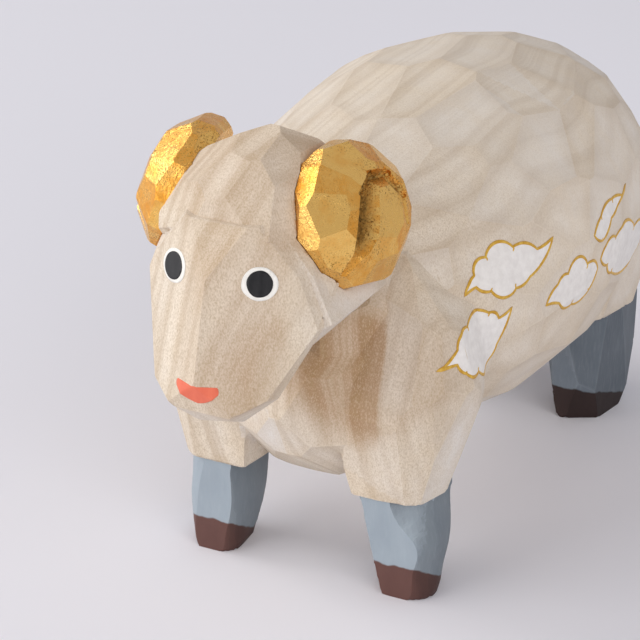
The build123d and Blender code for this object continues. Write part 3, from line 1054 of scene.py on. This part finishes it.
@dataclass
class Body:
    """The block of barrel, chest and cuffs with its four legs, rubbed down together to meet flush."""

    sanding: Sanding = Sanding(voxel=0.59)
    pairs: tuple[LegPair, ...] = (
        LegPair("front", -33.15, 17.0, 0.0, (3.5, 0.7), LegPaint(HoofMask(-40.1, 4.7, 0.56)), True),
        # The rear legs' darker blues and browns are painted shade, for the weaker light that reaches the back
        # of the sheep
        LegPair("rear", 42.75, 20.5, 0.0699, (0.7, 3.5), LegPaint(
            HoofMask(35.0, 4.4, 0.37), blue="7C858E", deep_blue="68727C", brown="32201C", deep_brown="281815",
            side_share=0.4), False))
    bared: tuple[Patch, ...] = (
        Patch(11, -42, 46, 7, 0.65, 15.8), Patch(9.5, -44.5, 38, 8, 1.35, 16.3), Patch(21, -41, 40, 8, 0.35),
        Patch(29, 52, 60, 8, 0.35), Patch(18, -42, 27, 6, 0.2), Patch(30, -8, 58, 14, 0.25),
        Patch(-4, -46, 28, 10, -0.7), Patch(24, -33, 24, 9, -0.8), Patch(30, 0, 50, 22, -0.3),
        Patch(20, 55, 68, 16, -0.5), Patch(27, 40, 36, 16, -0.5))
    rubbed: tuple[Patch, ...] = (Patch(25, -23, 36, 9, 40), Patch(-25, -23, 36, 10, 40))  # rounds of rubbing
    swollen: tuple[Patch, ...] = (  # mm of wood left on
        Patch(20.5, -38.5, 9.5, 5.5, 1.3), Patch(18.5, -40, 17, 4, -0.5), Patch(23.5, -33, 9, 9, 1.5),
        Patch(22, -36, 0, 6.5, 1.7), Patch(-12.5, -34, 10, 10, 1.6), Patch(-13, -37, 1, 5, 0.5),
        Patch(31, 40, 5, 6, 0.5))
    carrier: Optional[BVHTree] = field(default=None, init=False)

    RUB_STEPS = (1.0, 0.8, 0.6)  # shares of the radius, so that the middle is rubbed most

    def build(self, wood: Material) -> None:
        """Builds the body and its legs and dresses them.

        Args:
            wood: The wood's finish.
        """
        knife = KnifeWork("trunk", *(pair.node(side) for pair in self.pairs for side in Side))
        skin = knife.skin(self.sanding)
        self._rub_down(skin)
        self._swell(skin)
        trunk = skin.copy()
        for pair in self.pairs:
            for side in Side:
                leg = skin.copy()
                pair.part(leg, side, True)
                if pair.sliced:
                    pair.slice_front(leg)
                node = pair.node(side)
                paint = replace(pair.paint, name=f"matte_leg_paint_{node[4:]}").material()
                finish_piece(knife.piece(f"{node}_painted", leg), paint, "leg_paint", node)
                pair.part(trunk, side, False)
        piece = knife.piece("body_wood", trunk)
        write_attribute(piece, "bare", partial(bareness, self.bared))
        finish_piece(piece, wood, "pale_wood", "trunk")
        self.carrier = BVHTree.FromBMesh(skin)
        skin.free()

    def _swell(self, skin: BMesh) -> None:
        """Leaves a little more wood, or a little less, where the photograph shows it.

        Args:
            skin: The skin, changed in place.
        """
        skin.normal_update()
        for patch in self.swollen:
            for vert in skin.verts:
                away = patch.away(vert.co / MM)
                if away < 1:
                    outward = Vector((vert.normal.x, vert.normal.y, 0)).normalized()
                    vert.co += outward * patch.amount * MM * (1 - away**2) ** 2

    def _rub_down(self, skin: BMesh) -> None:
        """Rubs the skin round where clouds are painted over a valley.

        Args:
            skin: The skin, changed in place.
        """
        for patch in self.rubbed:
            for share in self.RUB_STEPS:
                relax(skin, [vert for vert in skin.verts if patch.away(vert.co / MM) < share], patch.amount)


@dataclass(frozen=True)
class EyePaint:
    """One painted eye: half widths and heights of ring and pupil, and how far each middle strays, in mm."""

    side: Side
    ring: Pair
    ring_shift: Pair
    pupil: Pair
    pupil_shift: Pair


@dataclass
class Head:
    """The head's block with its painted eyes and nose."""

    sanding: Sanding = Sanding(voxel=0.32, knife_depth=0.04)
    eye_spread: float = 6.95
    eye_place: Pair = (-64.33, 61.94)
    eye_turn: float = 28.0
    eye_tilt: float = 13.0
    eyes: tuple[EyePaint, ...] = (
        EyePaint(Side.LEFT, (2.68, 2.5), (0.0, 0.0), (1.9, 1.98), (0.0, 0.0)),
        EyePaint(Side.RIGHT, (2.95, 2.57), (0.15, 0.15), (2.25, 2.08), (0.32, 0.1)))
    paints: tuple[MattePaint, ...] = (
        MattePaint("matte_white_eye_paint", Tone.EYE_WHITE, Tone.EYE_WHITE_THIN),
        MattePaint("matte_black_eye_paint", Tone.EYE_BLACK, Tone.EYE_BLACK_THIN, roughness=0.5),
        MattePaint("matte_coral_nose_paint", Tone.NOSE_CORAL, Tone.NOSE_CORAL_THIN))
    ring_film: Film = Film(0.08, 0.5, 0.01)
    pupil_film: Film = Film(0.08, 0.5, 0.07)
    nose_film: Film = Film(0.1, 0.4, -0.03)
    nose: Drawing = Drawing(Board(Vector((MIDDLE, -71.1, 46.0)), 0.0, -20.0), (-3.6, 0.8), (
        Arc(0.0, 1.5, 0.02), Arc(3.1, 0.85, 0.02), Arc(3.35, -0.1, 0.12), Arc(1.7, -1.25, 0.03),
        Arc(0.0, -1.9, 0.08), Arc(-1.7, -1.3, 0.05), Arc(-3.7, -0.1, 0.03), Arc(-3.6, 0.8, 0.2)))
    bared: tuple[Patch, ...] = (
        Patch(7, -68, 55, 12, 0.45), Patch(9, -68, 44, 9, 0.4), Patch(10, -52, 74, 9, 0.5),
        Patch(1, -66, 68, 7, 0.25), Patch(-5, -56, 75, 7, 0.45), Patch(-15, -64, 54, 14, -0.25),
        Patch(17, -54, 57, 8, -1.0), Patch(14, -62, 47, 6, -0.7), Patch(0, -62, 38, 9, -0.5))

    def build(self, wood: Material) -> None:
        """Builds and dresses the head's pieces.

        Args:
            wood: The wood's finish.
        """
        knife = KnifeWork("head")
        skin = knife.skin(self.sanding)
        carrier = BVHTree.FromBMesh(skin)
        piece = knife.piece("head_wood", skin)
        write_attribute(piece, "bare", partial(bareness, self.bared))
        finish_piece(piece, wood, "pale_wood", "head")
        white, black, coral = (paint.material() for paint in self.paints)
        for eye in self.eyes:
            centre = Vector((eye.side.across(self.eye_spread), *self.eye_place))
            board = Board(centre, eye.side.value * self.eye_turn, self.eye_tilt)
            ring = self._dab(eye.side, eye.ring, eye.ring_shift)
            self.ring_film.lay(f"eye_ring_{eye.side.word}", ring, board, carrier, white)
            pupil = self._dab(eye.side, eye.pupil, eye.pupil_shift)
            self.pupil_film.lay(f"eye_pupil_{eye.side.word}", pupil, board, carrier, black)
        self.nose_film.lay("nose_paint", self.nose.shape(), self.nose.board, carrier, coral)

    @staticmethod
    def _dab(side: Side, radii: Pair, shift: Pair) -> BMesh:
        """Makes an oval dab of paint with a slightly unsteady edge, flat on its board.

        Args:
            side: Which eye it is for.
            radii: Half its width and height, mm.
            shift: Its middle's place on the board, outwards and up, mm.

        Returns:
            The dab, in mm.
        """
        dab = bmesh.new()
        bmesh.ops.create_circle(dab, cap_ends=True, radius=1, segments=56)
        for vert in dab.verts:
            seed = Vector((side.value * 3, radii[0], 0))
            wobble = 1 + 0.05 * noise.noise(vert.co * 1.3 + seed)
            outwards = vert.co.x * radii[0] * wobble + shift[0]
            vert.co = Vector((side.value * outwards, vert.co.y * radii[1] * wobble + shift[1], 0))
        return dab


@dataclass
class Horns:
    """The two coiled horns, laid with gold leaf."""

    sanding: Sanding = Sanding(voxel=0.22, knife_depth=0.03, knife_length=2.5)
    hollow_start: float = 0.35  # how far under the horn's hull the groove begins and how deep it is, mm
    hollow_depth: float = 1.5

    def build(self) -> None:
        """Builds and dresses both horns."""
        leaf = GoldLeaf().material()
        for side in Side:
            node = f"horn_{side.word}"
            knife = KnifeWork(node)
            skin = knife.skin(self.sanding)
            around = self._hull(skin)
            piece = knife.piece(f"{node}_gold", skin)
            write_attribute(piece, "hollow", partial(self._hollow, around))
            finish_piece(piece, leaf, "gold_leaf", node)

    @staticmethod
    def _hull(skin: BMesh) -> BVHTree:
        """Stretches a sheet round a horn.

        Args:
            skin: The horn's skin.

        Returns:
            Its convex hull.
        """
        hull = skin.copy()
        caught = bmesh.ops.convex_hull(hull, input=hull.verts)
        bmesh.ops.delete(hull, geom=list({*caught["geom_interior"], *caught["geom_unused"]}), context="VERTS")
        around = BVHTree.FromBMesh(hull)
        hull.free()
        return around

    def _hollow(self, around: BVHTree, point: Vector) -> float:
        """How deep a point in mm lies in the coil's groove, from 0 to 1."""
        away = around.find_nearest(point * MM)[3] / MM
        return min(1.0, max(0.0, (away - self.hollow_start) / self.hollow_depth))


@dataclass
class Tail:
    """The short carved tail."""

    sanding: Sanding = Sanding(voxel=0.34, knife_depth=0.04)
    bare: float = 0.15

    def build(self, wood: Material) -> None:
        """Builds and dresses the tail.

        Args:
            wood: The wood's finish.
        """
        knife = KnifeWork("tail")
        piece = knife.piece("tail_wood", knife.skin(self.sanding))
        write_attribute(piece, "bare", lambda point: self.bare)
        finish_piece(piece, wood, "pale_wood", "tail")


@dataclass
class Clouds:
    """White clouds with gold outlines on both flanks: a motif as old as temple painting, in a plain form."""

    white: MattePaint = MattePaint(
        "matte_cloud_white_paint", Tone.CLOUD_WHITE, Tone.CLOUD_WHITE_THIN, stroke=(0.3, 0.8, 0.8))
    film: Film = Film(0.07, 0.6, 0.0)
    line_width: float = 0.56
    line_lift: float = 0.06
    line_flatness: float = 0.35
    drawings: tuple[Drawing, ...] = (
        Drawing(Board(Vector((25.9, -18.3, 51.2)), 70, 15), (-9.4, -2.2), (
            Arc(-7.0, 0.4, 0.4), Arc(-3.9, 2.5, 1.0, 0.5), Arc(1.9, 2.7, 1.6, 0.6), Arc(7.6, 0.8, 0.8),
            Arc(11.9, 1.6, -0.2), Arc(4.8, -3.0, 0.8), Arc(1.1, -3.8, 0.4, 0.6), Arc(-4.4, -2.8, 1.3, 0.4),
            Arc(-7.2, -1.4, 0.4), Arc(-9.4, -2.2, -0.1))),
        Drawing(Board(Vector((25.8, -28.7, 42.2)), 70, 5), (-10.5, -1.1), (
            Arc(-6.4, 1.2, -0.2), Arc(-2.4, 3.4, 1.2, 0.6), Arc(4.6, 3.2, 1.1, 0.5), Arc(6.9, 1.6, 0.5),
            Arc(9.8, 2.6, -0.2), Arc(7.1, -3.1, 0.2), Arc(5.6, -5.2, 0.4), Arc(-1.5, -3.9, 1.2, 0.5),
            Arc(-5.4, -2.8, 0.6, 0.3), Arc(-6.9, -1.0, 0.3), Arc(-10.5, -1.1, -0.1))),
        Drawing(Board(Vector((31.2, -1.8, 42.8)), 80, -5), (-9.0, -0.4), (
            Arc(-5.4, 2.0, 0.4), Arc(-2.3, 2.8, 0.6), Arc(3.6, 2.6, 2.0, 0.7), Arc(8.0, 0.2, 0.9, 0.4),
            Arc(4.5, -2.4, 0.5, 0.4), Arc(-0.5, -3.2, 0.9, 0.7), Arc(-5.0, -1.4, 0.8),
            Arc(-9.0, -0.4, -0.2))),
        Drawing(Board(Vector((31.1, 19.5, 41.1)), 90, -5), (-12.2, 3.2), (
            Arc(-10.2, 5.0, 0.3), Arc(-6.2, 5.1, 0.7, 0.4), Arc(5.0, 2.8, 2.0, 0.6), Arc(13.0, 0.4, 0.9),
            Arc(17.0, 1.6, -0.2), Arc(12.0, -4.6, 0.8, 0.4), Arc(-6.7, -1.2, 1.7, 0.6),
            Arc(-9.0, 1.0, 0.6, 0.3), Arc(-12.2, 3.2, 0.4))),
        Drawing(Board(Vector((31.4, 12.0, 50.6)), 90, 15), (-7.4, -1.4), (
            Arc(-3.3, 0.5, 0.2, 0.5), Arc(2.5, 1.7, 0.6, 0.6), Arc(7.1, 0.8, 0.3), Arc(10.0, 1.9, -0.2),
            Arc(4.0, -0.1, 0.1), Arc(0.5, -1.0, 0.2), Arc(-4.5, -3.2, 0.4, 0.4), Arc(-7.4, -1.4, 0.4))))

    def build(self, carrier: BVHTree) -> None:
        """Paints the clouds on both flanks.

        Args:
            carrier: The body's surface.
        """
        white = self.white.material()
        gold = GoldPaint().material()
        for side in Side:
            for number, left_drawing in enumerate(self.drawings, 1):
                drawing = left_drawing if side is Side.LEFT else left_drawing.mirrored()
                name = f"cloud_{number}_{side.word}"
                self.film.lay(f"{name}_white", drawing.shape(), drawing.board, carrier, white)
                line = drawing.shape(self.line_width)
                drawing.board.lay(line, carrier, self.line_lift, self.line_flatness)
                finish_piece(own_piece(f"{name}_gold", line), gold, "gold_leaf")


@dataclass
class Dowels:
    """The turned pegs and the dowel that hold horns and head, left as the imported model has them."""

    nodes: tuple[str, ...] = ("horn_peg_left", "horn_peg_right", "neck_dowel")
    beech: WashedWood = WashedWood(
        "plain_turned_beech", ring_scale=0.8, bright="DDBB92", ground="CFA877", wash_share=0.0)

    def build(self) -> None:
        """Dresses the pegs and the dowel in plain beech."""
        material = self.beech.material()
        for node in self.nodes:
            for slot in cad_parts[node].material_slots:
                slot.material = material
            log.info("%s: packed model's own mesh", node)


@dataclass(frozen=True)
class Lamp:
    """A square soft lamp aimed at the sheep, placed by compass angle and height angle in degrees."""

    name: str
    azimuth: float
    elevation: float
    level: float
    distance: float = 1500.0
    size: float = 1260.0
    mirrored: bool = True  # whether gold and gloss show it

    TARGET = (0, 0, 40)  # the sheep's middle, mm

    def hang(self) -> None:
        """Hangs the lamp, at the power that gives its level on a surface that faces it."""
        out = aim(self.azimuth, self.elevation)
        light = bpy.data.lights.new(self.name, "AREA")
        light.shape, light.size = "SQUARE", self.size * MM
        light.energy = math.pi**2 * (self.distance * MM) ** 2 * self.level
        light.color = (1.0, 0.99, 0.98)
        lamp = add_object(self.name, light)
        lamp.location = place(*self.TARGET) + out * self.distance * MM
        lamp.rotation_euler = out.to_track_quat("Z", "Y").to_euler()
        lamp.visible_camera, lamp.visible_glossy = False, self.mirrored


@dataclass
class Studio:
    """Pale floor, soft low light from the windows at the left and the photograph's camera."""

    camera_place: Triple = (161.17, -341.53, 197.4)
    camera_azimuth: float = 27.5
    camera_elevation: float = 24.0
    lens: float = 135.0
    lamps: tuple[Lamp, ...] = (
        Lamp("front_window", -45, 14, 0.70, distance=1700, size=1500),
        Lamp("window_pane", -88, 34, 0.28, size=600),
        Lamp("pale_wall", 50, 24, 0.44, mirrored=False))
    room_level: float = 0.46  # even light on matte surfaces
    room_seen: float = 0.6  # what gold and gloss show of the pale room
    floor_width: float = 6000.0
    floor_drop: float = 0.02  # so that floor and hooves don't share a plane

    def build(self) -> None:
        """Sets floor, lights, world and camera."""
        self._floor()
        self._lights()
        self._camera()
        bpy.context.scene.view_settings.view_transform = "Standard"

    def _floor(self) -> None:
        """Lays a wide sheet of smooth paper. The eye gets an even pale grey with hardly any tooth."""
        sheet = bmesh.new()
        bmesh.ops.create_grid(sheet, x_segments=4, y_segments=4, size=self.floor_width / 2 * MM)
        bmesh.ops.translate(sheet, verts=sheet.verts, vec=place(0, 0, -self.floor_drop))
        floor = own_piece("floor", sheet)
        mix = Mixture(bpy.data.materials.new("smooth_paper_floor"))
        tooth = mix.add("TexNoise", mix.per_mm(0.8, 0.8, 0.8), sockets={"Scale": 1, "Detail": 3})
        bump = mix.add("Bump", sockets={"Height": tooth, "Strength": 0.02, "Distance": 0.1 * MM})
        floor.data.materials.append(mix.close({
            "Base Color": Tone.FLOOR.value, "Roughness": 0.8, "Specular IOR Level": 0.2, "Normal": bump}))

    def _lights(self) -> None:
        """Hangs the lamps and sets the room's even light."""
        for lamp in self.lamps:
            lamp.hang()
        mix = Mixture(bpy.data.worlds.new("room"))
        ray = mix.add("LightPath").outputs
        seen = mix.add("Math", ray["Is Camera Ray"], ray["Is Glossy Ray"], **LARGER)
        strength = mix.add("MapRange", seen, 0, 1, self.room_level, self.room_seen)
        mix.add("OutputWorld", mix.add("Background", Tone.ROOM.value, strength))
        bpy.context.scene.world = mix.owner

    def _camera(self) -> None:
        """Sets up the photograph's camera."""
        lens = bpy.data.cameras.new("camera")
        lens.sensor_width, lens.lens = 36, self.lens
        lens.clip_start, lens.clip_end = 0.01, 20
        camera = add_object("camera", lens)
        turn = facing(self.camera_azimuth, self.camera_elevation).to_4x4()
        camera.matrix_world = Matrix.Translation(place(*self.camera_place)) @ turn
        bpy.context.scene.camera = camera


def main() -> None:
    """Builds the sheep's looks, piece by piece, and the studio round it."""
    wood = WashedWood().material()
    body = Body()
    body.build(wood)
    Head().build(wood)
    Horns().build()
    Tail().build(wood)
    Clouds().build(body.carrier)
    Dowels().build()
    Studio().build()


if __name__ == "__main__":
    main()
